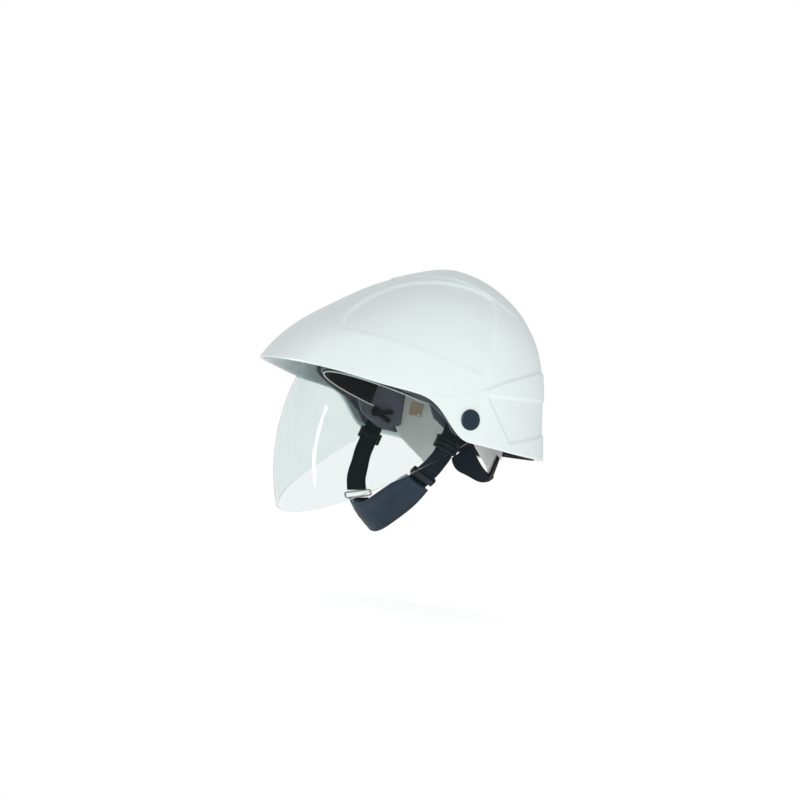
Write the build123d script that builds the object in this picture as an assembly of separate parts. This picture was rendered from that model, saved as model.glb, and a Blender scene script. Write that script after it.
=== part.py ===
from build123d import *
import os
from math import atan2, cos, degrees, pi, radians, sin, sqrt

# Hard hat with a long peak, a retractable clear visor and a webbing chin strap.
# Millimetres. Origin: centre of the head opening at headband level.
# The front of the hat faces -Y, the wearer's left is +X, the crown is +Z.

os.makedirs("parts", exist_ok=True)

# ---- shell
WALL = 2.6
APEX_Y = 19.0
CROWN_Z = 148.0
SCALE_BASE_Z = -60.0
# height, distance of the outer skin from the apex axis
FRONT = [(148, 0), (138.5, 36.4), (119.5, 78.6), (96.8, 114.2), (69, 152.1), (31.5, 183), (-34, 207)]
REAR = [(148, 0), (137.2, 44.5), (115, 77), (87.9, 98), (60, 108.5), (0, 118), (-34, 124)]
SIDE = [(148, 0), (138, 42), (120, 68), (95, 89), (65, 101), (20, 108.5), (-34, 112.5)]
# lower edge of the shell seen from the side (y, z)
RIM = [(-190, 34.5), (-165, 31.5), (-123, 27), (-86, 21), (-53, 17.5), (-38, 14), (-25, 5),
       (-13, -8), (-1, -18), (14, -21), (60, -24), (107, -25.5), (160, -26)]

# ---- visor and its pivots
PIVOT_Y = 5.0
PIVOT_Z = 0.0
VISOR_HALF = 103.0
VISOR_T = 2.0
VISOR_ARC = 180.0
VISOR_ARC_Z = -45.0
VISOR_ARC_SHIFT = 43.0
VISOR_LOBE = 20.8
VISOR_SLOPE = 0.70
VISOR_TOP_Z = 36.0
SLEEVE_R = 5.0
RUN_CLEAR = 0.06
SCREW_R = 1.95
CAP_R = 10.0

# ---- harness
BAND_X = 79.0
BAND_Y = 96.0
BAND_T = 2.0
BAND_H = 32.0
FRAME_X = 97.0
FRAME_Y = 102.5
FRAME_T = 2.0
STRAP_W = 19.0
STRAP_T = 1.0
CROWN_STRAP_Z = 110.0

# ---- chin strap
HANG_X = 82.5
HANG_Y = 5.0
HANG_Z = -9.0
WEB_W = 20.0
WEB_T = 1.6
BUCKLE_DROP = 18.5
KEEPER = Vector(64.8, -11.2, -58.8)
KEEPER_RUN = Vector(-9.0, -1.5, -7.5).normalized()
RING_CENTRE = Vector(-49.15, -20.15, -87.8)
RING_RUN = Vector(10.7, -1.3, -7.6).normalized()


def smooth(x, xs, ys):
    """Natural cubic curve through (xs, ys), xs rising."""
    n = len(xs)
    h = [xs[i + 1] - xs[i] for i in range(n - 1)]
    low = [0.0] * n
    mid = [1.0] * n
    rhs = [0.0] * n
    up = [0.0] * n
    for i in range(1, n - 1):
        low[i] = h[i - 1]
        mid[i] = 2 * (h[i - 1] + h[i])
        up[i] = h[i]
        rhs[i] = 6 * ((ys[i + 1] - ys[i]) / h[i] - (ys[i] - ys[i - 1]) / h[i - 1])
    for i in range(1, n):
        k = low[i] / mid[i - 1]
        mid[i] -= k * up[i - 1]
        rhs[i] -= k * rhs[i - 1]
    m = [0.0] * n
    m[n - 1] = rhs[n - 1] / mid[n - 1]
    for i in range(n - 2, -1, -1):
        m[i] = (rhs[i] - up[i] * m[i + 1]) / mid[i]
    x = min(max(x, xs[0]), xs[-1])
    i = 0
    while i < n - 2 and x > xs[i + 1]:
        i += 1
    t = x - xs[i]
    u = xs[i + 1] - x
    bend = (m[i] * u**3 + m[i + 1] * t**3) / (6 * h[i])
    return bend + (ys[i] / h[i] - m[i] * h[i] / 6) * u + (ys[i + 1] / h[i] - m[i + 1] * h[i] / 6) * t


def reach(table, z):
    """Distance of the outer skin from the apex axis at height z."""
    drops = [sqrt(CROWN_Z - p[0]) for p in table]
    outs = [p[1] for p in table]
    return smooth(sqrt(max(CROWN_Z - z, 0)), drops, outs)


def slice_wire(z, inner=False):
    """Closed outline of the shell at height z, outer or inner skin."""
    half, front, rear = reach(SIDE, z), reach(FRONT, z), reach(REAR, z)
    if inner:
        half *= 1 - WALL / 112.0
        front *= 1 - WALL / 206.0
        rear *= 1 - WALL / 124.0
        z = SCALE_BASE_Z + (z - SCALE_BASE_Z) * (1 - WALL / (CROWN_Z - SCALE_BASE_Z))
    points = []
    for i in range(32):
        a = 2 * pi * i / 32
        length = front if cos(a) > 0 else rear
        points.append((half * sin(a), APEX_Y - length * cos(a), z))
    return Wire(Spline(*points, periodic=True))


def dome(inner=False):
    drops = [13.49, 12.2, 11.0, 9.9, 8.8, 7.7, 6.6, 5.5, 4.4, 3.3, 2.3, 1.4, 0.7]
    return Solid.make_loft([slice_wire(CROWN_Z - d * d, inner) for d in drops])


def side_prism(points, x0=-200.0, x1=200.0):
    """Closed outline in the YZ plane, extruded along X."""
    edge = Polyline(*[(0, p[0], p[1]) for p in points], close=True)
    prism = Solid.extrude(Face(Wire(edge)), Vector(x1 - x0, 0, 0))
    return prism.moved(Location((x0, 0, 0)))


def rim_prism():
    ys = [p[0] for p in RIM]
    zs = [p[1] for p in RIM]
    curve = Spline(*[(0, y, z) for y, z in RIM])
    box = Polyline((0, ys[-1], zs[-1]), (0, ys[-1], 200), (0, ys[0], 200), (0, ys[0], zs[0]))
    prism = Solid.extrude(Face(Wire([curve, *box.edges()])), Vector(400, 0, 0))
    return prism.moved(Location((-200, 0, 0)))


def peg(x0, x1, r, y=PIVOT_Y, z=PIVOT_Z):
    """Round bar along X between x0 and x1."""
    bar = Solid.make_cylinder(r, abs(x1 - x0), Plane((min(x0, x1), y, z), z_dir=(1, 0, 0)))
    return bar


def one(shape):
    """Largest solid of a result."""
    return max(shape.solids(), key=lambda s: s.volume)


def make_shell():
    hat = one((dome() - dome(inner=True)) & rim_prism())
    for side in (1, -1):
        hat = one(hat + (peg(side * 104.3, side * 109.4, 12.5) & dome()))
        hat = one(hat - peg(side * 108.6, side * 116, CAP_R + 0.4))
        hat = one(hat - peg(side * 104, side * 116, 3.05))
    return hat


def visor_front(z):
    return sqrt(VISOR_ARC**2 - (z - VISOR_ARC_Z) ** 2) - VISOR_ARC_SHIFT


def visor_wire(z, inset):
    points = []
    for i in range(32):
        a = 2 * pi * i / 32
        length = visor_front(z) if cos(a) > 0 else 140.0
        points.append(((VISOR_HALF + 1 - inset) * sin(a), PIVOT_Y - (length + 1 - inset) * cos(a), z))
    return Wire(Spline(*points, periodic=True))


def make_visor():
    levels = [-132, -110, -85, -60, -35, -10, 15, 42]
    skin = Solid.make_loft([visor_wire(z, 0) for z in levels])
    skin -= Solid.make_loft([visor_wire(z, VISOR_T) for z in levels])
    low = PIVOT_Z - VISOR_LOBE * sqrt(1 + VISOR_SLOPE**2)
    tilt = VISOR_SLOPE / sqrt(1 + VISOR_SLOPE**2)
    level = 1 / sqrt(1 + VISOR_SLOPE**2)
    touch = (PIVOT_Y + VISOR_LOBE * tilt, PIVOT_Z - VISOR_LOBE * level)
    outline = [touch, (-200, low + VISOR_SLOPE * (-200 - PIVOT_Y)), (-200, VISOR_TOP_Z)]
    outline += [(-100, VISOR_TOP_Z), (-60, 31), (PIVOT_Y, VISOR_LOBE - 2), touch]
    sheet = side_prism(outline[:-1])
    disc = peg(-200, 200, VISOR_LOBE)
    cut = one(sheet + disc)
    glass = one(skin & cut)
    return glass - peg(-200, 200, SLEEVE_R + RUN_CLEAR)


def ring(ax, ay, t, z0, z1, cy=0.0):
    """Upright elliptical band, outer half-axes ax and ay."""
    outer = Solid.extrude(Face(Wire(Edge.make_ellipse(ax, ay))), Vector(0, 0, z1 - z0))
    inner = Solid.extrude(Face(Wire(Edge.make_ellipse(ax - t, ay - t))), Vector(0, 0, z1 - z0))
    return one(outer - inner).moved(Location((0, cy, z0)))


def band_low(y):
    """Lower edge of the headband: it drops towards the nape."""
    return 5.4 - 0.25 * y


def make_headband():
    """Band with a side plate below it that carries the chin strap's rivet in a blind hole."""
    outline = [(-110, band_low(-110)), (-24, band_low(-24)), (-17, -3), (-9, -8.5), (2.5, -15), (13.7, -18.7)]
    outline += [(22.6, -14), (30, -11), (30, band_low(30) + BAND_H - 8), (20, band_low(20) + BAND_H)]
    outline += [(-110, band_low(-110) + BAND_H - 8)]
    band = one(ring(BAND_X + BAND_T, BAND_Y + BAND_T, BAND_T, -30, 90) & side_prism(outline))
    return one(band - peg(79.8, 90, 2.1, HANG_Y, HANG_Z) - peg(-90, -79.8, 2.1, HANG_Y, HANG_Z))


def make_sweatband():
    outline = [(-110, band_low(-110) - 2), (-4, band_low(-4) - 2)]
    outline += [(-4, band_low(-4) + BAND_H + 1), (-110, band_low(-110) + BAND_H - 6)]
    return one(ring(BAND_X - 0.3, BAND_Y - 0.3, 3.0, -30, 90) & side_prism(outline))


def make_inner_frame():
    """Slotted band inside the shell, cut low over the pivots so the raised visor passes it."""
    outline = [(-112, 37), (-30, 9), (-12, -4), (-6, -13), (0, -16.5), (14, -17.5), (34, -19), (36, -10)]
    outline += [(36, 38), (24, 46), (14, 38), (3, 28.5), (-15, 28.5), (-30, 31), (-60, 43), (-80, 48)]
    outline += [(-112, 52)]
    band = one(ring(FRAME_X, FRAME_Y, FRAME_T, -40, 80) & side_prism(outline))
    return one(band - peg(-200, 200, SLEEVE_R + 0.05))


def make_nape_band():
    """Rear band with a tongue on each side that the nape strap hooks on to."""
    outline = [(20, -1), (28, -16), (34, -24), (45, -33), (56, -42), (60, -47), (64, -47), (70, -38)]
    outline += [(76, -29), (92, -32), (112, -33), (112, -4), (88, -1), (65, 6), (28, 25), (20, 26)]
    return one(ring(BAND_X + 4.3, BAND_Y + 4.3, 1.8, -80, 60) & side_prism(outline))


def make_nape_pad():
    outline = [(62, -31), (76, -28.5), (92, -30.5), (108, -31.5), (108, -14), (84, -12), (66, -14)]
    return one(ring(BAND_X + 2.2, BAND_Y + 2.2, 3.0, -80, 60) & side_prism(outline))


def make_nape_strap(side):
    """Webbing hooked on to the nape band: the left one hangs slack, the right one is drawn up."""
    outline = [(17.5, -20), (28, -27), (43, -37), (56, -44), (63, -39), (66, -30), (75, -30), (73, -40)]
    outline += [(68, -50), (58, -55), (43, -56), (31, -53), (23, -51), (14.5, -43)]
    if side < 0:
        outline = [(24, -2), (32, -5), (45, -12), (60, -16), (74, -14), (74, -25), (62, -31), (48, -27)]
        outline += [(34, -19), (24, -12)]
    half = side_prism(outline, 0, 200) if side > 0 else side_prism(outline, -200, 0)
    return one(ring(BAND_X + 6.2, BAND_Y + 6.2, 1.6, -80, 60) & half)


def make_rear_liner():
    band = ring(106.0, 115.4, 3.0, -28, -10, cy=APEX_Y)
    outline = [(52, -22.5), (72, -25.5), (99, -27.5), (150, -27.5), (150, 0), (52, 0)]
    return one(band & side_prism(outline))


def crown_strap(angle, front, rear, base, top, front_base):
    """Webbing arch over the head. angle is the heading of its front end."""
    points = []
    for i in range(17):
        a = pi * i / 16
        length = front if a < pi / 2 else rear
        foot = front_base if a < pi / 2 else base
        points.append((length * cos(a), foot + (top - foot) * sin(a)))
    heading = Vector(sin(angle), -cos(angle), 0)
    across = Vector(cos(angle), sin(angle), 0)
    centre = Vector(0, PIVOT_Y, 0)
    line = Spline(*[centre + heading * p[0] + Vector(0, 0, p[1]) for p in points])
    outer = []
    for i in range(17):
        before = points[max(i - 1, 0)]
        after = points[min(i + 1, 16)]
        run = (after[0] - before[0], after[1] - before[1])
        size = sqrt(run[0] ** 2 + run[1] ** 2)
        shift = (points[i][0] + STRAP_T * run[1] / size, points[i][1] - STRAP_T * run[0] / size)
        outer.append(centre + heading * shift[0] + Vector(0, 0, shift[1]))
    back = Spline(*outer)
    ends = [Line(line @ 0, back @ 0), Line(line @ 1, back @ 1)]
    face = Face(Wire([line.edge(), ends[0].edge(), back.edge(), ends[1].edge()]))
    half = across * (STRAP_W / 2)
    return Solid.extrude(face.moved(Location(-half)), half * 2)


STRAP_HEADINGS = {"crown_strap_centre": (0.0, 103.9, 118.0, 40.0, CROWN_STRAP_Z, 49.0),
                  "crown_strap_left": (radians(48.3), 95.2, 106.0, 40.0, CROWN_STRAP_Z + 1.9, 44.0),
                  "crown_strap_right": (radians(-48.3), 95.2, 106.0, 40.0, CROWN_STRAP_Z + 3.8, 44.0)}


def turned_block(x, y, z, along, out, high, heading):
    """Block centred at a point, its 'out' side facing the heading."""
    block = Solid.make_box(along, out, high).moved(Location((-along / 2, -out / 2, -high / 2)))
    block = fillet_upright(block, 1.2)
    return block.moved(Location((x, y, z), (0, 0, heading * 180 / pi)))


def fillet_upright(block, r):
    return block.fillet(r, block.edges().filter_by(Axis.Z))


def make_clip(heading, distance, z):
    """Plug-in clip that holds the end of a crown strap, hollow where the strap enters."""
    x, y = distance * sin(heading), PIVOT_Y - distance * cos(heading)
    body = turned_block(x, y, z, STRAP_W + 5, 6.4, 16, heading)
    slot = Solid.make_box(STRAP_W + 1, 4.4, 40).moved(Location((-(STRAP_W + 1) / 2, -2.2, -6)))
    return body - slot.moved(Location((x, y, z), (0, 0, heading * 180 / pi)))


def make_crown_pad():
    pad = Solid.make_cylinder(38, 5.0, Plane((0, PIVOT_Y, 98.5)))
    return pad.fillet(2.2, pad.edges())


def make_pivot_cap(side):
    disc = peg(side * 108.7, side * 112.2, CAP_R)
    rim = disc.edges().filter_by(GeomType.CIRCLE).sort_by(Axis.X)
    disc = disc.fillet(2.0, [rim[-1] if side > 0 else rim[0]])
    cap = one(disc + peg(side * 104.35, side * 109, 3.0))
    return one(cap - peg(side * 104, side * 108, SCREW_R + 0.05))


def make_bushing(side):
    sleeve = one(peg(side * 92.7, side * 104.25, SLEEVE_R) + peg(side * 97.4, side * 101.3, 8.5))
    return one(sleeve - peg(side * 90, side * 106, SCREW_R + 0.05))


def make_screw(side):
    head = peg(side * 88.2, side * 90.5, 4.2)
    rim = head.edges().filter_by(GeomType.CIRCLE).sort_by(Axis.X)
    head = head.fillet(0.9, [rim[0] if side > 0 else rim[-1]])
    bolt = one(head + peg(side * 90.4, side * 107.6, SCREW_R))
    for long_y, long_z in ((4.6, 0.9), (0.9, 4.6)):
        cut = Solid.make_box(1.2, long_y, long_z)
        cut = cut.moved(Location((0, PIVOT_Y - long_y / 2, PIVOT_Z - long_z / 2)))
        cut = cut.moved(Location((87.9 if side > 0 else -89.1, 0, 0)))
        bolt = one(bolt - cut)
    return bolt


def make_detent(side):
    """Forked spring clip behind the frame: a hub with three arms towards the nape."""
    x0, x1 = (90.6, 92.2) if side > 0 else (-92.2, -90.6)
    clip = peg(x0, x1, 6.0)
    for lift in (-34, 0, 34):
        arm = Solid.make_box(x1 - x0, 17, 3.6).moved(Location((x0, 0, -1.8)))
        tip = peg(x0, x1, 1.8, y=17, z=0)
        arm = one(arm + tip).rotate(Axis.X, lift)
        clip = one(clip + arm.moved(Location((0, PIVOT_Y, PIVOT_Z))))
    return one(clip - peg(-200, 200, SCREW_R + 0.05))


def web_band(sections, thick, offset=0.0, ruled=False):
    """Flat webbing through (x, y, z, width, lean) sections, shifted along its own normal."""
    faces = []
    for i, s in enumerate(sections):
        before = Vector(*sections[max(i - 1, 0)][:3])
        after = Vector(*sections[min(i + 1, len(sections) - 1)][:3])
        run = (after - before).normalized()
        wide = Vector(0, 1, s[4])
        wide = (wide - run * wide.dot(run)).normalized()
        plane = Plane(Vector(*s[:3]) + run.cross(wide) * offset, x_dir=wide, z_dir=run)
        faces.append((plane * Rectangle(s[3], thick)).face().outer_wire())
    return Solid.make_loft(faces, ruled)


def along(start, run, lengths, width, lean):
    """Sections on a straight line."""
    return [(*(start + run * t), width, lean) for t in lengths]


def hang_run(side):
    return Vector(-side * 0.0179, -0.2982, -0.9543)


def hanger_sections(side):
    rivet = Vector(side * HANG_X, HANG_Y, HANG_Z)
    path = along(rivet, hang_run(side), [-11, 0, 14, 28], WEB_W, -0.3)
    if side > 0:
        path += [(79.6, -6.0, -42.2, WEB_W, -0.4), (75.4, -8.6, -49.2, WEB_W, -0.6)]
        return path + along(KEEPER, KEEPER_RUN, [-6, -0.4], WEB_W, -0.7)
    path += [(-79.6, -7.2, -46.5, WEB_W, -0.25), (-75.0, -10.6, -57.5, WEB_W, -0.1)]
    return path + [(-64.6, -17.2, -72.5, WEB_W, 0.22), (*(RING_CENTRE - RING_RUN * 7.2), WEB_W, 0.5)]


def make_hanger(side):
    web = web_band(hanger_sections(side), WEB_T, ruled=True)
    return one(web - peg(78, 90, 2.15, HANG_Y, HANG_Z) - peg(-90, -78, 2.15, HANG_Y, HANG_Z))


def make_strap_anchor(side):
    """Forked clip on the inner face of the side plate: a hub with two prongs towards the nape."""
    x0 = 75.0 if side > 0 else -77.0
    clip = peg(x0, x0 + 2.0, 5.0, -0.5, -1.0)
    for y, z in ((17.0, 0.3), (14.8, -8.2)):
        length = sqrt((y + 0.5) ** 2 + (z + 1.0) ** 2)
        arm = Solid.make_box(2.0, length, 4.6).moved(Location((x0, 0, -2.3)))
        arm = one(arm + peg(x0, x0 + 2.0, 2.3, length, 0))
        arm = arm.rotate(Axis.X, degrees(atan2(z + 1.0, y + 0.5)))
        clip = one(clip + arm.moved(Location((0, -0.5, -1.0))))
    return one(clip + peg(side * 76.5, side * 78.8, 2.5, -0.5, -1.0))


def make_rivet(side):
    shank = peg(side * 79.9, side * 84.0, 2.05, HANG_Y, HANG_Z)
    head = peg(side * 83.6, side * 84.8, 4.4, HANG_Y, HANG_Z)
    rim = head.edges().filter_by(GeomType.CIRCLE).sort_by(Axis.X)
    head = head.fillet(0.6, [rim[-1] if side > 0 else rim[0]])
    return one(shank + head)


def make_buckle(side):
    """Three-bar slide: outer bars in front of the webbing, middle bar behind."""
    run = hang_run(side)
    wide = (Vector(0, 1, 0) - run * Vector(0, 1, 0).dot(run)).normalized()
    centre = Vector(side * HANG_X, HANG_Y, HANG_Z) + run * BUCKLE_DROP
    place = Plane(centre, x_dir=wide, z_dir=run)
    front = 1 if place.y_dir.X * side > 0 else -1
    frame = Solid.make_box(WEB_W + 5.4, 4.6, 12).moved(Location((-(WEB_W + 5.4) / 2, -2.3, -6)))
    frame = frame.fillet(1.0, frame.edges())
    frame -= Solid.make_box(WEB_W + 1.2, 2.4, 30).moved(Location((-(WEB_W + 1.2) / 2, -1.2, -15)))
    windows = []
    for z0 in (-4.0, 0.9):
        opening = Solid.make_box(WEB_W + 1.2, 3.0, 3.1)
        windows.append(opening.moved(Location((-(WEB_W + 1.2) / 2, 0 if front > 0 else -3.0, z0))))
    for opening in windows:
        frame -= opening
    for z0 in (-8.0, 2.2):
        opening = Solid.make_box(WEB_W + 1.2, 3.0, 5.8)
        frame -= opening.moved(Location((-(WEB_W + 1.2) / 2, -3.0 if front > 0 else 0, z0)))
    return one(frame.moved(place.location))


# chin guard line from the keeper to the wire ring: x, y, z, width, lean of the width
GUARD = [(59.2, -12.4, -63.5, 27, -0.7), (54.0, -13.5, -67.6, 29, -0.8), (42.0, -16.5, -77.5, 32, -1.0),
         (28.0, -20.0, -88.0, 33, -1.25), (14.0, -23.5, -98.0, 33, -1.5), (2.0, -25.5, -104.5, 33, -1.6),
         (-10.0, -26.5, -106.0, 33, -1.4), (-22.0, -25.8, -103.0, 31, -1.0), (-33.0, -23.2, -98.0, 28, -0.5),
         (-41.0, -21.4, -93.6, 25, 0.1)]


def make_chin_guard():
    """Padded chin guard outside its webbing, upright at the chin and flatter at its ends."""
    return web_band(GUARD[:-1], 3.2, offset=3.1)


def make_chin_webbing():
    lead = along(KEEPER, KEEPER_RUN, [0.4, 6], WEB_W, -0.7)
    line = [(s[0], s[1], s[2], WEB_W, s[4]) for s in GUARD[1:]]
    tail = (*(RING_CENTRE + RING_RUN * 6.6), WEB_W, 0.4)
    return web_band([*lead, *line, tail], WEB_T)


def make_keeper():
    """Moulded keeper where the left hanger meets the chin webbing."""
    wide = Vector(0, 1, -0.7)
    wide = (wide - KEEPER_RUN * wide.dot(KEEPER_RUN)).normalized()
    place = Plane(KEEPER, x_dir=wide, z_dir=KEEPER_RUN)
    frame = Solid.make_box(WEB_W + 5.6, 5.2, 7.0).moved(Location((-(WEB_W + 5.6) / 2, -2.6, -3.5)))
    frame = fillet_upright(frame, 1.2)
    frame -= Solid.make_box(WEB_W + 1.6, 3.0, 30).moved(Location((-(WEB_W + 1.6) / 2, -1.5, -15)))
    return one(frame.moved(place.location))


def ring_wide():
    wide = Vector(0, 1, 0.5)
    return (wide - RING_RUN * wide.dot(RING_RUN)).normalized()


def make_wire_ring():
    """Rectangular wire ring that joins the right hanger to the chin webbing."""
    wide = ring_wide()
    place = Plane(RING_CENTRE, x_dir=wide, z_dir=RING_RUN.cross(wide))
    half_w, half_l, r = WEB_W / 2 + 3.0, 4.4, 1.1
    outline = place * RectangleRounded(2 * half_w, 2 * half_l, 2.0)
    path = outline.face().outer_wire()
    start = path @ 0
    section = Plane(start, z_dir=path % 0) * Circle(r)
    return one(sweep(section, path=path))


def make_size_tab(side):
    """Leather end tab on the inside of the headband tail."""
    outline = [(37, 1), (50, 0), (50, 15), (37, 15)]
    half = side_prism(outline, 0, 200) if side > 0 else side_prism(outline, -200, 0)
    return one(ring(BAND_X + 2.2, BAND_Y + 2.2, 1.4, -40, 60) & half)


def save(shape, name):
    shape.label = name
    export_step(shape, "parts/" + name + ".step")


save(make_shell(), "shell")
save(one(make_visor()), "visor")
save(make_headband(), "headband")
save(make_sweatband(), "sweatband")
save(make_inner_frame(), "inner_frame")
save(make_nape_band(), "nape_band")
save(make_nape_pad(), "nape_pad")
save(make_rear_liner(), "rear_liner")
save(make_crown_pad(), "crown_pad")
save(make_chin_guard(), "chin_guard")
save(make_chin_webbing(), "chin_webbing")
save(make_keeper(), "keeper")
save(make_wire_ring(), "wire_ring")
for name, sizes in STRAP_HEADINGS.items():
    save(crown_strap(*sizes), name)
    heading, front, rear = sizes[0], sizes[1], sizes[2]
    save(one(make_clip(heading + pi, rear - 0.6, sizes[3] + 2)), name.replace("strap", "clip"))
for side, word in ((1, "left"), (-1, "right")):
    save(make_pivot_cap(side), "pivot_cap_" + word)
    save(make_bushing(side), "pivot_bushing_" + word)
    save(make_screw(side), "pivot_screw_" + word)
    save(make_detent(side), "detent_clip_" + word)
    save(make_nape_strap(side), "nape_strap_" + word)
    save(make_hanger(side), "hanger_" + word)
    save(make_strap_anchor(side), "strap_anchor_" + word)
    save(make_rivet(side), "strap_rivet_" + word)
    save(make_buckle(side), "slide_buckle_" + word)
    save(make_size_tab(side), "size_tab_" + word)
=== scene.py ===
from math import cos, pi, radians, sin, sqrt

import bmesh
import bpy
import numpy as np
from mathutils import Matrix, Vector


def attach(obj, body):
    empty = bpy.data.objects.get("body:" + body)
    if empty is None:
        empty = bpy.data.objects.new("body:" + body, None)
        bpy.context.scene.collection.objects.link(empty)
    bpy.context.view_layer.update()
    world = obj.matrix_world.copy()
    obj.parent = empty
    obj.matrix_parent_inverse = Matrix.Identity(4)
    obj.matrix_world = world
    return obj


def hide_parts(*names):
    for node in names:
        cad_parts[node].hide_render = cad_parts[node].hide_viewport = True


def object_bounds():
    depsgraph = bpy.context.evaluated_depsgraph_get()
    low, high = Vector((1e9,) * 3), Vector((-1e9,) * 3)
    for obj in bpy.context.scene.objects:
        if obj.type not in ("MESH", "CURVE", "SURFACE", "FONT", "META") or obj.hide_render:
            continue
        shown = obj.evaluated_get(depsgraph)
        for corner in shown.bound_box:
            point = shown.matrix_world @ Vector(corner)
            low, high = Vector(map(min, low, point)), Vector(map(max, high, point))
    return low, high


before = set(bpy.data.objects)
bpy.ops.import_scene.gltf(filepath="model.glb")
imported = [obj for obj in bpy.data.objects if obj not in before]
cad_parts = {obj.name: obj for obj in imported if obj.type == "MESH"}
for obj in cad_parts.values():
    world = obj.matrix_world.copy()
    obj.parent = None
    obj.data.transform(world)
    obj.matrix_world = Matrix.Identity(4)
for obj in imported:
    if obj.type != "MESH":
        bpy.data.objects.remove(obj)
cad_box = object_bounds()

MM = 0.001

# ---------------------------------------------------------------- shell shape (millimetres)
# each profile is (height, reach from the apex), and RIM is (y, height of the edge)
APEX_Y, CROWN_Z, SCALE_BASE_Z, WALL = 19.0, 148.0, -60.0, 2.6
FRONT = [(148, 0), (138.5, 36.4), (119.5, 78.6), (96.8, 114.2), (69, 152.1), (31.5, 183), (-34, 207)]
REAR = [(148, 0), (137.2, 44.5), (115, 77), (87.9, 98), (60, 108.5), (0, 118), (-34, 124)]
SIDE = [(148, 0), (138, 42), (120, 68), (95, 89), (65, 101), (20, 108.5), (-34, 112.5)]
RIM = [(-190, 34.5), (-165, 31.5), (-123, 27), (-86, 21), (-53, 17.5), (-38, 14), (-25, 5),
       (-13, -8), (-1, -18), (14, -21), (60, -24), (107, -25.5), (160, -26)]


def smooth(x, xs, ys):
    """Natural cubic curve through (xs, ys), xs rising, for an array x."""
    xs, ys = np.array(xs, float), np.array(ys, float)
    n, h = len(xs), np.diff(xs)
    a, b = np.eye(n), np.zeros(n)
    for i in range(1, n - 1):
        a[i, i - 1:i + 2] = h[i - 1], 2 * (h[i - 1] + h[i]), h[i]
        b[i] = 6 * ((ys[i + 1] - ys[i]) / h[i] - (ys[i] - ys[i - 1]) / h[i - 1])
    m = np.linalg.solve(a, b)
    x = np.clip(x, xs[0], xs[-1])
    i = np.clip(np.searchsorted(xs, x) - 1, 0, n - 2)
    t, u = x - xs[i], xs[i + 1] - x
    bend = (m[i] * u**3 + m[i + 1] * t**3) / (6 * h[i])
    return bend + (ys[i] / h[i] - m[i] * h[i] / 6) * u + (ys[i + 1] / h[i] - m[i + 1] * h[i] / 6) * t


def reach(table, z):
    drop = np.sqrt(np.maximum(CROWN_Z - z, 0))
    return smooth(drop, [sqrt(CROWN_Z - p[0]) for p in table], [p[1] for p in table])


def skin(th, z, inner=False):
    """Point on the shell's outer or inner skin, th 0 at the front and pi/2 on the wearer's left."""
    half = reach(SIDE, z)
    front, rear = reach(FRONT, z), reach(REAR, z)
    if inner:
        half, front, rear = half * (1 - WALL / 112), front * (1 - WALL / 206), rear * (1 - WALL / 124)
        z = SCALE_BASE_Z + (z - SCALE_BASE_Z) * (1 - WALL / (CROWN_Z - SCALE_BASE_Z))
    length = np.where(np.cos(th) > 0, front, rear)
    return np.stack([half * np.sin(th), APEX_Y - length * np.cos(th), z + 0 * th], -1)


def step(a, b, v):
    t = np.clip((v - a) / (b - a), 0, 1)
    return t * t * (3 - 2 * t)


def line_at(v, points):
    return np.interp(v, [p[0] for p in points], [p[1] for p in points])


def rim_z(y):
    return smooth(y, [p[0] for p in RIM], [p[1] for p in RIM])


# ---------------------------------------------------------------- mesh helpers
def mesh_object(name, verts, faces, uvs=None):
    mesh = bpy.data.meshes.new(name)
    mesh.from_pydata([tuple(v) for v in np.asarray(verts, float) * MM], [], [tuple(f) for f in faces])
    mesh.validate()
    if uvs is not None:
        layer = mesh.uv_layers.new(name="UVMap")
        loops = np.zeros(len(mesh.loops), np.int64)
        mesh.loops.foreach_get("vertex_index", loops)
        layer.data.foreach_set("uv", np.asarray(uvs, np.float32)[loops].ravel())
    mesh.polygons.foreach_set("use_smooth", [True] * len(mesh.polygons))
    obj = bpy.data.objects.new(name, mesh)
    bpy.context.scene.collection.objects.link(obj)
    return obj


def grid_faces(rows, cols, wrap_rows=False, wrap_cols=False, first=0):
    """Quads over a grid of points numbered row by row from first."""
    faces = []
    for i in range(rows if wrap_rows else rows - 1):
        for j in range(cols if wrap_cols else cols - 1):
            here, above = first + i * cols, first + ((i + 1) % rows) * cols
            a, b = here + j, here + (j + 1) % cols
            c, d = above + (j + 1) % cols, above + j
            faces.append((a, b, c, d))
    return faces


def outward(obj):
    """Makes the normals of a closed mesh point outwards."""
    bm = bmesh.new()
    bm.from_mesh(obj.data)
    bmesh.ops.recalc_face_normals(bm, faces=bm.faces)
    bm.to_mesh(obj.data)
    bm.free()
    return obj


def finish_piece(obj, body, material, replaced=()):
    obj.data.materials.clear()
    obj.data.materials.append(material)
    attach(obj, body)
    if replaced:
        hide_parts(*replaced)
    return obj


def unit(v):
    return v / np.maximum(np.linalg.norm(v, axis=-1, keepdims=True), 1e-9)


def resample(points, n):
    """Points evenly spaced on a smooth curve through the given ones."""
    p = np.asarray(points, float)
    t = np.concatenate([[0], np.cumsum(np.linalg.norm(np.diff(p, axis=0), axis=1))])
    fine = np.linspace(0, t[-1], 400)
    c = np.stack([smooth(fine, t, p[:, k]) for k in range(p.shape[1])], -1)
    s = np.concatenate([[0], np.cumsum(np.linalg.norm(np.diff(c[:, :3], axis=0), axis=1))])
    want = np.linspace(0, s[-1], n)
    return np.stack([np.interp(want, s, c[:, k]) for k in range(p.shape[1])], -1)


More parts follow.
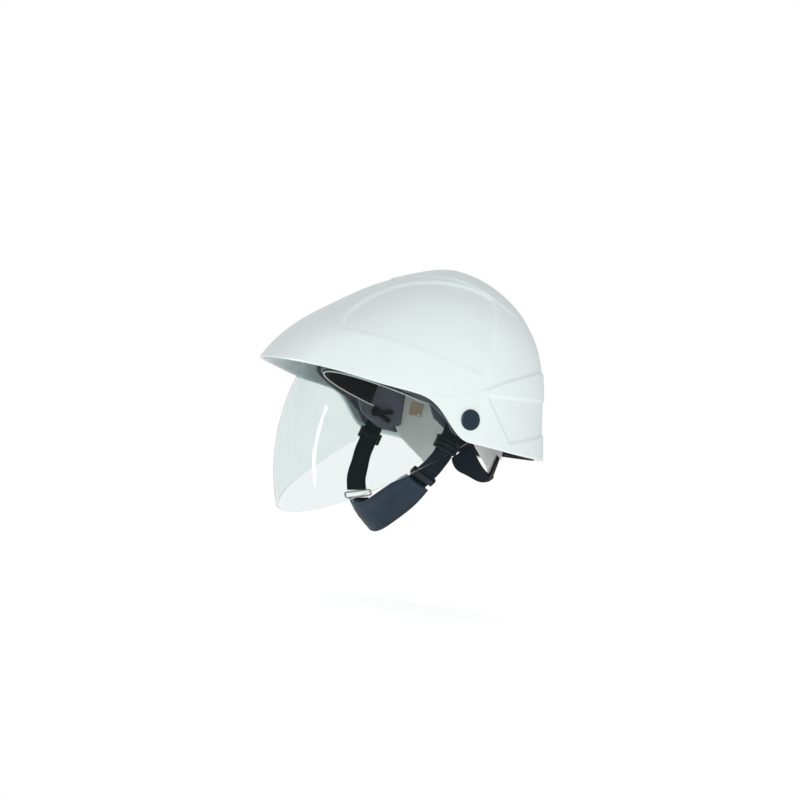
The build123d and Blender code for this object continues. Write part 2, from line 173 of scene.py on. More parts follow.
def flat_section(m=14, round_part=0.12):
    """Closed outline of a flat strap: (across -1..1, thickness -1..1), selvedges a little thicker."""
    u = np.sin(np.linspace(-pi / 2, pi / 2, m))
    edge = np.clip((1 - np.abs(u)) / round_part, 0, 1)
    v = np.sqrt(1 - (1 - edge) ** 2) * (1 + 0.12 * np.exp(-((np.abs(u) - 0.9) / 0.05) ** 2))
    return np.concatenate([np.stack([u, v], 1)[:-1], np.stack([u[::-1], -v[::-1]], 1)[:-1]])


def lay(sections, n, offset=0.0):
    """Centreline, width direction, outward normal and width from (x, y, z, width, lean) sections."""
    p = resample(sections, n)
    line, width = p[:, :3], p[:, 3]
    run = unit(np.gradient(line, axis=0))
    wide = np.stack([0 * width, 0 * width + 1, p[:, 4]], -1)
    wide = unit(wide - run * (wide * run).sum(1, keepdims=True))
    out = np.cross(run, wide)
    return line + out * offset, wide, out, width


def pad_section(m=22, seam=0.86, crown=1.0):
    """Closed outline of a stuffed strip: crowned between sewn seams, with a thin bound edge."""
    u = np.sin(np.linspace(-pi / 2, pi / 2, m))
    body = np.clip(1 - (np.abs(u) / seam) ** 2.4, 0, 1) ** 0.5
    edge = np.sqrt(np.clip(1 - ((np.abs(u) - 0.93) / 0.07) ** 2, 0, 1)) * 0.3
    v = np.maximum(np.maximum(body * crown, edge), 0.16 * (np.abs(u) < 0.95))
    return np.concatenate([np.stack([u, v], 1)[:-1], np.stack([u[::-1], -v[::-1]], 1)[:-1]])


def strip(name, centre, wide, width, thick, section, ends=2, lump=0.0, seed=1):
    """Strip along a centreline. wide is the unit direction of its width at each point."""
    n, m = len(centre), len(section)
    width = np.broadcast_to(np.asarray(width, float), (n,)).copy()
    thick = np.broadcast_to(np.asarray(thick, float), (n,)).copy()
    run = unit(np.gradient(centre, axis=0))
    wide = unit(wide - run * (wide * run).sum(1, keepdims=True))
    norm = np.cross(run, wide)
    scale = np.ones(n)
    for i in range(ends):
        scale[i] = scale[-1 - i] = (0.55, 0.88, 1, 1)[i]
    rng = np.random.default_rng(seed)
    wave = rng.normal(size=(n, 1))
    kernel = np.hanning(9) / np.hanning(9).sum()
    wave = np.convolve(wave[:, 0], kernel, mode="same")[:, None] * lump
    across = section[None, :, 0] * (width / 2)[:, None]
    up = section[None, :, 1] * (thick / 2 * scale)[:, None] * (1 + wave)
    verts = centre[:, None] + wide[:, None] * across[..., None] + norm[:, None] * up[..., None]
    far = np.concatenate([[0], np.cumsum(np.linalg.norm(np.diff(centre, axis=0), axis=1))])
    uvs = np.stack([across * MM, np.broadcast_to(far[:, None], across.shape) * MM], -1)
    faces = grid_faces(n, m, wrap_cols=True)
    verts = verts.reshape(-1, 3)
    uvs = uvs.reshape(-1, 2)
    half = m // 2
    for base in (0, (n - 1) * m):
        for j in range(half):
            a, b = base + j, base + j + 1
            c, d = base + (m - j - 1) % m, base + (m - j) % m
            quad = [a, b, c, d] if base else [a, d, c, b]
            quad = list(dict.fromkeys(quad))
            if len(quad) > 2:
                faces.append(tuple(quad))
    return outward(mesh_object(name, verts, faces, uvs))


def stitches(name, lines, length=2.6, gap=1.5, radius=0.28):
    """Row of thread stitches along each line of (point, outward normal) pairs."""
    verts, faces = [], []
    ring = 6
    for points, normals in lines:
        s = np.concatenate([[0], np.cumsum(np.linalg.norm(np.diff(points, axis=0), axis=1))])
        at = 0.6
        while at + length < s[-1]:
            steps = np.linspace(0, 1, 5)
            where = at + length * steps
            p = np.stack([np.interp(where, s, points[:, k]) for k in range(3)], -1)
            nn = unit(np.stack([np.interp(where, s, normals[:, k]) for k in range(3)], -1))
            run = unit(np.gradient(p, axis=0))
            side = np.cross(run, nn)
            lift = np.sin(steps * pi) * radius * 0.9
            thin = radius * (0.45 + 0.55 * np.sin(steps * pi))
            base = len(verts)
            for i in range(5):
                for j in range(ring):
                    a = 2 * pi * j / ring
                    verts.append(p[i] + nn[i] * (lift[i] + thin[i] * sin(a)) + side[i] * thin[i] * cos(a))
            faces += grid_faces(5, ring, wrap_cols=True, first=base)
            faces.append(tuple(base + j for j in range(ring)))
            faces.append(tuple(base + 4 * ring + ring - 1 - j for j in range(ring)))
            at += length + gap
    return outward(mesh_object(name, verts, faces))


# ---------------------------------------------------------------- materials
def new_material(name):
    m = bpy.data.materials.new(name)
    m.use_nodes = True
    nodes = m.node_tree.nodes
    shader = nodes["Principled BSDF"]
    return m, nodes, m.node_tree.links, shader


def shade(c, k):
    return (min(c[0] * k, 1), min(c[1] * k, 1), min(c[2] * k, 1), 1)


def moulded(name, colour, rough=0.35, vary=0.06, grain=900.0, grain_depth=0.00002,
            coat=0.0, edge_lift=0.0, spec=0.5):
    """Moulded plastic or paint: faint mottling, fine surface grain and a lighter colour on sharp convex
    edges.
    """
    m, nodes, links, shader = new_material(name)
    coords = nodes.new("ShaderNodeTexCoord")
    mottling = nodes.new("ShaderNodeTexNoise")
    mottling.inputs["Scale"].default_value = 28
    mottling.inputs["Detail"].default_value = 5
    links.new(coords.outputs["Object"], mottling.inputs["Vector"])
    ramp = nodes.new("ShaderNodeValToRGB")
    ramp.color_ramp.elements[0].position, ramp.color_ramp.elements[1].position = 0.3, 0.7
    ramp.color_ramp.elements[0].color = shade(colour, 1 - vary)
    ramp.color_ramp.elements[1].color = shade(colour, 1 + vary)
    links.new(mottling.outputs["Fac"], ramp.inputs["Fac"])
    last = ramp.outputs["Color"]
    # lighter colour mixed in on sharp convex edges, by pointiness
    if edge_lift:
        geometry = nodes.new("ShaderNodeNewGeometry")
        edge = nodes.new("ShaderNodeMapRange")
        edge.inputs["From Min"].default_value, edge.inputs["From Max"].default_value = 0.53, 0.62
        edge.inputs["To Max"].default_value = edge_lift
        links.new(geometry.outputs["Pointiness"], edge.inputs["Value"])
        mix = nodes.new("ShaderNodeMixRGB")
        mix.inputs["Color2"].default_value = shade(colour, 3.0)
        links.new(edge.outputs["Result"], mix.inputs["Fac"])
        links.new(last, mix.inputs["Color1"])
        last = mix.outputs["Color"]
    links.new(last, shader.inputs["Base Color"])
    rub = nodes.new("ShaderNodeTexNoise")
    rub.inputs["Scale"].default_value = 60
    rub.inputs["Detail"].default_value = 6
    links.new(coords.outputs["Object"], rub.inputs["Vector"])
    spread = nodes.new("ShaderNodeMapRange")
    spread.inputs["To Min"].default_value, spread.inputs["To Max"].default_value = rough * 0.8, rough * 1.25
    links.new(rub.outputs["Fac"], spread.inputs["Value"])
    links.new(spread.outputs["Result"], shader.inputs["Roughness"])
    fine = nodes.new("ShaderNodeTexNoise")
    fine.inputs["Scale"].default_value = grain
    fine.inputs["Detail"].default_value = 3
    links.new(coords.outputs["Object"], fine.inputs["Vector"])
    bump = nodes.new("ShaderNodeBump")
    bump.inputs["Strength"].default_value = 0.5
    bump.inputs["Distance"].default_value = grain_depth
    links.new(fine.outputs["Fac"], bump.inputs["Height"])
    links.new(bump.outputs["Normal"], shader.inputs["Normal"])
    shader.inputs["Specular IOR Level"].default_value = spec
    shader.inputs["Coat Weight"].default_value = coat
    shader.inputs["Coat Roughness"].default_value = 0.06
    return m


def woven(name, colour, pitch=0.0011, rough=0.82, twill=True):
    """Webbing: ribs across and along the strap, from its UVs in metres."""
    m, nodes, links, shader = new_material(name)
    uv = nodes.new("ShaderNodeUVMap")
    split = nodes.new("ShaderNodeSeparateXYZ")
    links.new(uv.outputs["UV"], split.inputs["Vector"])

    def math(kind, a, b=None, value=None):
        node = nodes.new("ShaderNodeMath")
        node.operation = kind
        links.new(a, node.inputs[0])
        if b is not None:
            links.new(b, node.inputs[1])
        if value is not None:
            node.inputs[1].default_value = value
        return node.outputs[0]

    across = math("MULTIPLY", split.outputs["X"], value=2 * pi / pitch)
    along = math("MULTIPLY", split.outputs["Y"], value=2 * pi / pitch)
    if twill:
        wave = math("ABSOLUTE", math("SINE", math("MULTIPLY", across, value=0.25)))
        along = math("ADD", along, math("MULTIPLY", wave, value=1.6))
    rib = math("MULTIPLY", math("SINE", across), math("SINE", along))
    height = math("MULTIPLY_ADD", rib, value=0.5)
    nodes[-1].inputs[2].default_value = 0.5
    fuzz = nodes.new("ShaderNodeTexNoise")
    fuzz.inputs["Scale"].default_value = 2600
    fuzz.inputs["Detail"].default_value = 4
    coords = nodes.new("ShaderNodeTexCoord")
    links.new(coords.outputs["Object"], fuzz.inputs["Vector"])
    mixed = math("ADD", height, math("MULTIPLY", fuzz.outputs["Fac"], value=0.35))
    ramp = nodes.new("ShaderNodeValToRGB")
    ramp.color_ramp.elements[0].position, ramp.color_ramp.elements[1].position = 0.1, 1.0
    ramp.color_ramp.elements[0].color = shade(colour, 0.5)
    ramp.color_ramp.elements[1].color = shade(colour, 1.5)
    links.new(mixed, ramp.inputs["Fac"])
    links.new(ramp.outputs["Color"], shader.inputs["Base Color"])
    bump = nodes.new("ShaderNodeBump")
    bump.inputs["Strength"].default_value = 0.7
    bump.inputs["Distance"].default_value = 0.00025
    links.new(mixed, bump.inputs["Height"])
    links.new(bump.outputs["Normal"], shader.inputs["Normal"])
    shader.inputs["Roughness"].default_value = rough
    shader.inputs["Specular IOR Level"].default_value = 0.15
    shader.inputs["Sheen Weight"].default_value = 0.06
    shader.inputs["Sheen Roughness"].default_value = 0.4
    return m


def grained(name, colour, rough=0.45, cell=900.0, depth=0.00012, sheen=0.0):
    """Leather or coated fabric: cell grain, creases and colour variation."""
    m, nodes, links, shader = new_material(name)
    coords = nodes.new("ShaderNodeTexCoord")
    cells = nodes.new("ShaderNodeTexVoronoi")
    cells.feature = "DISTANCE_TO_EDGE"
    cells.inputs["Scale"].default_value = cell
    warp = nodes.new("ShaderNodeTexNoise")
    warp.inputs["Scale"].default_value = 45
    warp.inputs["Detail"].default_value = 7
    links.new(coords.outputs["Object"], cells.inputs["Vector"])
    links.new(coords.outputs["Object"], warp.inputs["Vector"])
    ramp = nodes.new("ShaderNodeValToRGB")
    ramp.color_ramp.elements[0].position, ramp.color_ramp.elements[1].position = 0.25, 0.75
    ramp.color_ramp.elements[0].color = shade(colour, 0.65)
    ramp.color_ramp.elements[1].color = shade(colour, 1.4)
    links.new(warp.outputs["Fac"], ramp.inputs["Fac"])
    links.new(ramp.outputs["Color"], shader.inputs["Base Color"])
    rubbed = nodes.new("ShaderNodeMapRange")
    rubbed.inputs["To Min"].default_value, rubbed.inputs["To Max"].default_value = rough * 0.75, rough * 1.3
    links.new(warp.outputs["Fac"], rubbed.inputs["Value"])
    links.new(rubbed.outputs["Result"], shader.inputs["Roughness"])
    add = nodes.new("ShaderNodeMath")
    add.operation = "MULTIPLY_ADD"
    add.inputs[1].default_value = 2.0
    links.new(cells.outputs["Distance"], add.inputs[0])
    links.new(warp.outputs["Fac"], add.inputs[2])
    bump = nodes.new("ShaderNodeBump")
    bump.inputs["Strength"].default_value = 0.6
    bump.inputs["Distance"].default_value = depth
    links.new(add.outputs[0], bump.inputs["Height"])
    links.new(bump.outputs["Normal"], shader.inputs["Normal"])
    shader.inputs["Specular IOR Level"].default_value = 0.25
    shader.inputs["Sheen Weight"].default_value = sheen
    return m


def metal(name, colour, rough=0.28):
    m, nodes, links, shader = new_material(name)
    coords = nodes.new("ShaderNodeTexCoord")
    stretch = nodes.new("ShaderNodeMapping")
    stretch.inputs["Scale"].default_value = (1, 14, 1)
    brushing = nodes.new("ShaderNodeTexNoise")
    brushing.inputs["Scale"].default_value = 500
    brushing.inputs["Detail"].default_value = 6
    links.new(coords.outputs["Object"], stretch.inputs["Vector"])
    links.new(stretch.outputs["Vector"], brushing.inputs["Vector"])
    ramp = nodes.new("ShaderNodeValToRGB")
    ramp.color_ramp.elements[0].color = shade(colour, 0.8)
    ramp.color_ramp.elements[1].color = shade(colour, 1.15)
    links.new(brushing.outputs["Fac"], ramp.inputs["Fac"])
    links.new(ramp.outputs["Color"], shader.inputs["Base Color"])
    spread = nodes.new("ShaderNodeMapRange")
    spread.inputs["To Min"].default_value, spread.inputs["To Max"].default_value = rough * 0.7, rough * 1.4
    links.new(brushing.outputs["Fac"], spread.inputs["Value"])
    links.new(spread.outputs["Result"], shader.inputs["Roughness"])
    shader.inputs["Metallic"].default_value = 1
    return m


def clear_sheet(name):
    """Clear polycarbonate with a trace of grey-green and faint wiping marks."""
    m, nodes, links, shader = new_material(name)
    coords = nodes.new("ShaderNodeTexCoord")
    haze = nodes.new("ShaderNodeTexNoise")
    haze.inputs["Scale"].default_value = 22
    haze.inputs["Detail"].default_value = 6
    links.new(coords.outputs["Object"], haze.inputs["Vector"])
    ramp = nodes.new("ShaderNodeValToRGB")
    ramp.color_ramp.elements[0].color = (0.84, 0.895, 0.887, 1)
    ramp.color_ramp.elements[1].color = (0.857, 0.908, 0.9, 1)
    links.new(haze.outputs["Fac"], ramp.inputs["Fac"])
    links.new(ramp.outputs["Color"], shader.inputs["Base Color"])
    spread = nodes.new("ShaderNodeMapRange")
    spread.inputs["To Min"].default_value, spread.inputs["To Max"].default_value = 0.0, 0.03
    links.new(haze.outputs["Fac"], spread.inputs["Value"])
    links.new(spread.outputs["Result"], shader.inputs["Roughness"])
    shader.inputs["Transmission Weight"].default_value = 1
    shader.inputs["IOR"].default_value = 1.13
    shader.inputs["Specular IOR Level"].default_value = 0.3
    return m


WHITE = moulded("shell_white", (0.77, 0.85, 0.845), 0.3, 0.012, 240, 0.00001, coat=0.15)
CLEAR = clear_sheet("visor_clear")
CAP = moulded("cap_black", (0.012, 0.03, 0.045), 0.42, 0.2, 900, 0.00003, edge_lift=0.2, spec=0.25)
DETENT = moulded("detent_black", (0.01, 0.01, 0.013), 0.5, 0.2, 700, 0.00004, edge_lift=0.15, spec=0.2)
BUSHING = moulded("bushing_grey", (0.2, 0.21, 0.23), 0.4, 0.1, 700, 0.00004)
SLATE = moulded("frame_slate", (0.1, 0.105, 0.135), 0.5, 0.12, 520, 0.00007, edge_lift=0.12, spec=0.35)
GREY = moulded("band_grey", (0.52, 0.535, 0.52), 0.42, 0.08, 600, 0.00005, edge_lift=0.1)
BUCKLE = moulded("buckle_black", (0.008, 0.012, 0.017), 0.4, 0.2, 800, 0.00004, edge_lift=0.2, spec=0.25)
STEEL = metal("steel", (0.62, 0.62, 0.64), 0.3)
WIRE = metal("ring_wire", (0.74, 0.75, 0.77), 0.16)
SWEAT = grained("sweat_black", (0.006, 0.006, 0.01), 0.75, 1300, 0.0001, 0.03)
# near black for the padded strip on the inner rear wall: painted shade for the shade under the rear rim
SHADE_PAD_BLACK = grained("painted_shade_black", (0.012, 0.013, 0.018), 0.8, 1700, 0.00016, 0.05)
WEB = woven("webbing_black", (0.006, 0.011, 0.016), 0.0012)
WEB_GREY = woven("webbing_grey", (0.5, 0.5, 0.5), 0.0013)
LEATHER = grained("guard_leather", (0.009, 0.022, 0.037), 0.5, 1000, 0.0001, 0.02)
TAN = grained("tab_tan", (0.36, 0.28, 0.21), 0.55, 900, 0.0001)
THREAD = woven("thread_dark", (0.04, 0.05, 0.07), 0.0006)
# light grey strip colour: a painted highlight along the sweatband's lower edge
EDGE_HIGHLIGHT_GREY = moulded("painted_edge_highlight", (0.6, 0.61, 0.59), 0.5, 0.08, 900, 0.00005)


# ---------------------------------------------------------------- shell
# side panel's outline, seen from the side: y, z
PANEL = [(-115, 66), (-113, 72), (-104, 84), (-83, 101), (-59, 116.5), (-37, 126), (-13, 130.6), (13, 129.6),
         (30, 125), (36.5, 120), (34, 108), (29.5, 92), (26.5, 74), (21, 52), (18, 43), (13, 43.5),
         (-8, 47.5), (-37, 54), (-60, 58.5), (-82, 62), (-104, 64.5)]
# raised crest's half width against y
CREST = [(-46, 0), (-44, 4), (-38, 10), (-30, 17.5), (-20, 28), (-11, 37), (5, 47.5), (23, 57.5), (34, 63),
         (43, 67.6), (70, 72), (140, 72)]
# upper edge of the raised belt round the back: y, z
BELT = [(-36, 16.5), (-8, 21), (17, 30.5), (46, 43.5), (90, 58), (137, 62)]
# hollow in the belt: its front edge (z, y), upper edge (y, z) and lower edge (y, z)
CREASE = [(-26, 60), (-9, 47), (4, 36), (28, 18), (40, 8)]
BAND_LOW = [(10, 24), (100, 31), (137, 32)]
RIDGE = [(40, -19), (76, -10), (104, -3), (137, 0)]
# depths and heights over the plain shell
PANEL_SINK, PANEL_SWELL, CREST_RISE, BELT_RISE, HOLLOW_SINK = 1.9, 0.9, 0.95, 1.15, 1.35


def panel_distance(p):
    """Distance inside the side panel's outline, in millimetres, negative outside."""
    loop = np.array(PANEL + [PANEL[0]], float)
    t = np.arange(len(loop))
    fine = np.linspace(0, len(loop) - 1, 240, endpoint=False)
    outline = np.stack([np.interp(fine, t, loop[:, 0]), np.interp(fine, t, loop[:, 1])], 1)
    for _ in range(6):
        outline = (np.roll(outline, 1, 0) + 2 * outline + np.roll(outline, -1, 0)) / 4
    length = np.where(outline[:, 0] < APEX_Y, reach(FRONT, outline[:, 1]), reach(REAR, outline[:, 1]))
    x = reach(SIDE, outline[:, 1]) * np.sqrt(np.clip(1 - ((outline[:, 0] - APEX_Y) / length) ** 2, 0, 1))
    edge = np.stack([x, outline[:, 0], outline[:, 1]], 1)
    flat = p.reshape(-1, 3)
    q = np.abs(flat[:, 0])
    near = np.full(len(flat), 1e9)
    for k in range(len(edge)):
        a, b = edge[k], edge[(k + 1) % len(edge)]
        ab = b - a
        ap = np.stack([q, flat[:, 1], flat[:, 2]], 1) - a
        h = np.clip(ap @ ab / (ab @ ab), 0, 1)
        near = np.minimum(near, ((ap - h[:, None] * ab) ** 2).sum(1))
    inside = np.zeros(len(flat), bool)
    yy, zz = flat[:, 1], flat[:, 2]
    for k in range(len(outline)):
        (y0, z0), (y1, z1) = outline[k], outline[(k + 1) % len(outline)]
        crossing = (z0 > zz) != (z1 > zz)
        if z1 != z0:
            inside ^= crossing & (yy < (y1 - y0) * (zz - z0) / (z1 - z0) + y0)
    return (np.sqrt(near) * np.where(inside, 1, -1)).reshape(p.shape[:-1])


def relief(p):
    """Height of the moulded detail over the plain shell, in millimetres."""
    x, y, z = np.abs(p[..., 0]), p[..., 1], p[..., 2]
    d = panel_distance(p)
    strong = 0.3 + 0.7 * step(58, 92, z)
    out = -(PANEL_SINK * step(-0.4, 4.6, d) - PANEL_SWELL * step(9, 42, d)) * strong
    out += 0.25 * np.exp(-((d + 1.6) / 1.6) ** 2) * strong
    crest = (line_at(y, CREST) - x) * step(-60, -44, y)
    out += CREST_RISE * step(-1.1, 1.1, crest) * step(98, 118, z) * step(-46.5, -43, y)
    below = line_at(y, BELT) - z
    out += (0.35 + BELT_RISE * step(8, 24, y)) * step(-0.9, 0.9, below) * step(-37, -30, y)
    behind, beneath, over = y - line_at(z, CREASE), line_at(y, BAND_LOW) - z, z - line_at(y, RIDGE)
    hollow = np.minimum(np.minimum(behind, beneath), over)
    out -= HOLLOW_SINK * step(-0.8, 0.9, hollow)
    return out


def make_shell():
    cols, rows, inner_rows = 660, 230, 70
    th = np.linspace(0, 2 * pi, cols, endpoint=False)

    def rim_of(inner):
        low, high = np.full(cols, -33.9), np.full(cols, 60.0)
        for _ in range(40):
            mid = (low + high) / 2
            p = skin(th, mid, inner)
            under = p[:, 2] < rim_z(p[:, 1])
            low, high = np.where(under, mid, low), np.where(under, high, mid)
        return high

    def surface(inner, count):
        drop = np.sqrt(CROWN_Z - rim_of(inner))
        share = np.linspace(1, 0, count + 1)[:-1]
        z = CROWN_Z - (share[:, None] * drop[None]) ** 2
        return skin(np.broadcast_to(th, z.shape), z, inner)

    outer = surface(False, rows)
    du = np.roll(outer, -1, 1) - np.roll(outer, 1, 1)
    dv = np.gradient(outer, axis=0)
    normal = unit(np.cross(du, dv))
    if (normal[5, 0] * np.array([0, -1, 0])).sum() < 0:
        normal = -normal
    outer = outer + normal * relief(outer)[..., None]
    inner = surface(True, inner_rows)
    # thicker bead inside the edge
    bead = 0.7 + 1.3 * step(-58, -40, inner[0, :, 1]) * (1 - step(-6, 6, inner[0, :, 1]))
    for i in range(6):
        inner[i] -= unit(inner[i] - np.array([0, APEX_Y, 60])) * (bead * (1 - i / 6) ** 2)[:, None]
    lip = []
    for k in range(1, 6):
        a = pi * k / 6
        middle = (outer[0] + inner[0]) / 2
        half = (inner[0] - outer[0]) / 2
        down = np.array([0, 0, -1.0]) * np.linalg.norm(half, axis=1, keepdims=True)
        lip.append(middle - half * cos(a) + down * sin(a) * 0.55)
    lip = np.array(lip)
    top_out = np.array([[0, APEX_Y, CROWN_Z + 0.95]])
    top_in = np.array([[0, APEX_Y, skin(np.array([0.0]), np.array([CROWN_Z]), True)[0, 2]]])
    chain = np.concatenate([outer[::-1], lip, inner])
    verts = np.concatenate([chain.reshape(-1, 3), top_out, top_in])
    faces = grid_faces(len(chain), cols, wrap_cols=True)
    n = len(chain) * cols
    faces += [(j, n, (j + 1) % cols) for j in range(cols)]
    last = (len(chain) - 1) * cols
    faces += [(last + (j + 1) % cols, n + 1, last + j) for j in range(cols)]
    shell = outward(mesh_object("hat_shell", verts, faces))
    return finish_piece(shell, "shell", WHITE, ["shell"])


# ---------------------------------------------------------------- visor
PIVOT_Y, PIVOT_Z, VISOR_HALF, VISOR_T, LOBE, SLOPE = 5.0, 0.0, 103.0, 2.0, 20.8, 0.70


def visor_front(z):
    return np.sqrt(180.0**2 - (z + 45) ** 2) - 43


def visor_point(a, z, inset):
    length = np.where(np.cos(a) > 0, visor_front(z), 140.0)
    return np.stack([(VISOR_HALF + 1 - inset) * np.sin(a), PIVOT_Y - (length + 1 - inset) * np.cos(a), z], -1)


def visor_edge(a, top):
    """Height of the visor's upper or lower edge at plan angle a."""
    z = np.zeros_like(a)
    for _ in range(120):
        y = visor_point(a, z, 1.0)[:, 1]
        round_z = np.sqrt(np.clip(LOBE**2 - (y - PIVOT_Y) ** 2, 0, None))
        if top:
            line = np.interp(y, [-100, -60, PIVOT_Y], [36, 31, LOBE - 2])
            ahead = np.maximum(line, np.where(y > -15, round_z, -99))
            want = np.where(y > PIVOT_Y, np.minimum(LOBE - 2, round_z), ahead)
        else:
            touch = PIVOT_Y + LOBE * SLOPE / sqrt(1 + SLOPE**2)
            line = PIVOT_Z - LOBE * sqrt(1 + SLOPE**2) + SLOPE * (y - PIVOT_Y)
            want = np.where(y > touch, -round_z, line)
        z = 0.6 * z + 0.4 * want
    return z


def make_visor():
    end = pi / 2 + np.arcsin(LOBE / 140.0) * 0.999
    cols, rows = 281, 60
    share = np.linspace(-1, 1, cols)
    a = end * np.sin(share * pi / 2) * 0.35 + end * share * 0.65
    low, high = visor_edge(a, False), visor_edge(a, True)
    gap = np.maximum(high - low, 0)
    mid = (high + low) / 2
    t = -np.cos(np.linspace(0, pi, rows))
    half = np.maximum(gap / 2 - 0.5, 0.02)
    z = mid[None] + t[:, None] * half[None]
    skins = [visor_point(np.broadcast_to(a, z.shape), z, inset) for inset in (0.0, VISOR_T)]
    outer, inner = skins
    rings = []
    for edge in (-1, 1):
        i = 0 if edge < 0 else rows - 1
        for k in (1, 2, 3):
            f = k / 4
            p = outer[i] * (1 - f) + inner[i] * f
            p = p + np.array([0, 0, edge * 0.5 * sin(pi * f)])
            rings.append(p)
    low_rings, high_rings = rings[:3], rings[3:]
    loop = np.concatenate([outer, np.array(high_rings), inner[::-1], np.array(low_rings[::-1])])
    verts = loop.reshape(-1, 3)
    faces = grid_faces(len(loop), cols, wrap_rows=True)
    count = len(loop)
    for j in (0, cols - 1):
        ring = [i * cols + j for i in range(count)]
        faces.append(tuple(ring if j == 0 else ring[::-1]))
    visor = outward(mesh_object("clear_visor", verts, faces))
    return finish_piece(visor, "visor", CLEAR, ["visor"])


# ---------------------------------------------------------------- harness
BAND_X, BAND_Y, BAND_H = 79.0, 96.0, 32.0


def band_low(y):
    return 5.4 - 0.25 * y


def ellipse(ax, ay, a, z, cy=0.0):
    return np.stack([ax * np.sin(a), cy - ay * np.cos(a), z + 0 * a], -1)


def up_vectors(n):
    return np.tile(np.array([0, 0, 1.0]), (n, 1))


def make_sweatband():
    ax, ay = BAND_X - 1.8, BAND_Y - 1.8
    end = np.arccos(4 / ay)
    a = np.linspace(-end, end, 220)
    y = -ay * np.cos(a)
    low = band_low(y) - 1.5
    high = band_low(y) + BAND_H + np.interp(y, [-110, -4], [-6, 1])
    centre = ellipse(ax, ay, a, (low + high) / 2)
    section = pad_section(26, 0.9)
    pad = strip("brow_sweatband", centre, up_vectors(220), high - low, 3.0, section, lump=0.05, seed=3)
    finish_piece(pad, "shell", SWEAT, ["sweatband"])
    inner = ellipse(ax - 0.9, ay - 0.9, a, low + 3.0)
    outer = ellipse(ax - 0.9, ay - 0.9, a, high - 3.0)
    norm = -unit(np.stack([np.sin(a) / ax, -np.cos(a) / ay, 0 * a], -1))
    seam = stitches("sweatband_stitching", [(inner, norm), (outer, norm)], 2.4, 1.4, 0.25)
    finish_piece(seam, "shell", THREAD)
    # light grey strip along the sweatband's lower edge: a painted highlight on that edge
    line = ellipse(ax + 0.4, ay + 0.4, a, low - 0.2)
    highlight_strip = strip("sweatband_edge_highlight", line, up_vectors(220), 1.5, 1.5, flat_section(8, 0.9), ends=1)
    finish_piece(highlight_strip, "shell", EDGE_HIGHLIGHT_GREY)


def arch_points(angle, front, rear, base, top, front_base, n=90):
    """Arch of a crown strap from its front foot over the top to its rear foot."""
    a = np.linspace(0, pi, n)
    length = np.where(a < pi / 2, front, rear) * np.cos(a)
    foot = np.where(a < pi / 2, front_base, base)
    z = foot + (top - foot) * np.sin(a)
    return np.stack([length * sin(angle), PIVOT_Y - length * cos(angle), z], -1)


# direction, reach in front and behind, height of the rear foot, the top and the front foot
CROWN_STRAPS = {"crown_strap_centre": (0.0, 103.9, 118.0, 40.0, 110.0, 49.0),
                "crown_strap_left": (radians(48.3), 95.2, 106.0, 40.0, 111.9, 44.0),
                "crown_strap_right": (radians(-48.3), 95.2, 106.0, 40.0, 113.8, 44.0)}


def make_crown():
    for name, sizes in CROWN_STRAPS.items():
        line = arch_points(*sizes)
        out = unit(line - np.array([0, PIVOT_Y, 20]))
        line = line + out * 0.5
        wide = np.tile(np.array([cos(sizes[0]), sin(sizes[0]), 0]), (len(line), 1))
        piece = strip(name + "_webbing", line, wide, 19.0, 1.0, flat_section(12), lump=0.05, seed=5)
        finish_piece(piece, "shell", WEB_GREY, [name])
    pad = round_pad("crown_cushion", (0, PIVOT_Y, 101.0), 37.0, 5.0)
    finish_piece(pad, "shell", SWEAT, ["crown_pad"])


def round_pad(name, centre, radius, thick):
    """Round quilted cushion: six sewn spokes, a sewn ring and a bound edge."""
    rings, cols = 34, 120
    verts = []
    a = np.linspace(0, 2 * pi, cols, endpoint=False)
    for face in (1, -1):
        for i in range(rings):
            r = np.sin((i + 0.5) / rings * pi / 2)
            body = np.clip(1 - (r / 0.93) ** 4, 0, 1) ** 0.5
            spoke = np.exp(-(np.abs(np.sin(3 * a)) * r * 12) ** 2) * (r > 0.12)
            ring = np.exp(-((r - 0.55) * 22) ** 2)
            h = body * (1 - 0.55 * spoke - 0.4 * ring) + 0.12 * (r > 0.9)
            z = centre[2] + face * thick / 2 * h
            verts.append(ellipse(radius * r, radius * r, a, z, centre[1]))
    verts = np.array(verts)
    top, low = verts[:rings], verts[rings:]
    chain = np.concatenate([top, low[::-1]]).reshape(-1, 3)
    faces = grid_faces(2 * rings, cols, wrap_cols=True)
    faces.append(tuple(range(cols))[::-1])
    faces.append(tuple((2 * rings - 1) * cols + j for j in range(cols)))
    return outward(mesh_object(name, chain, faces))


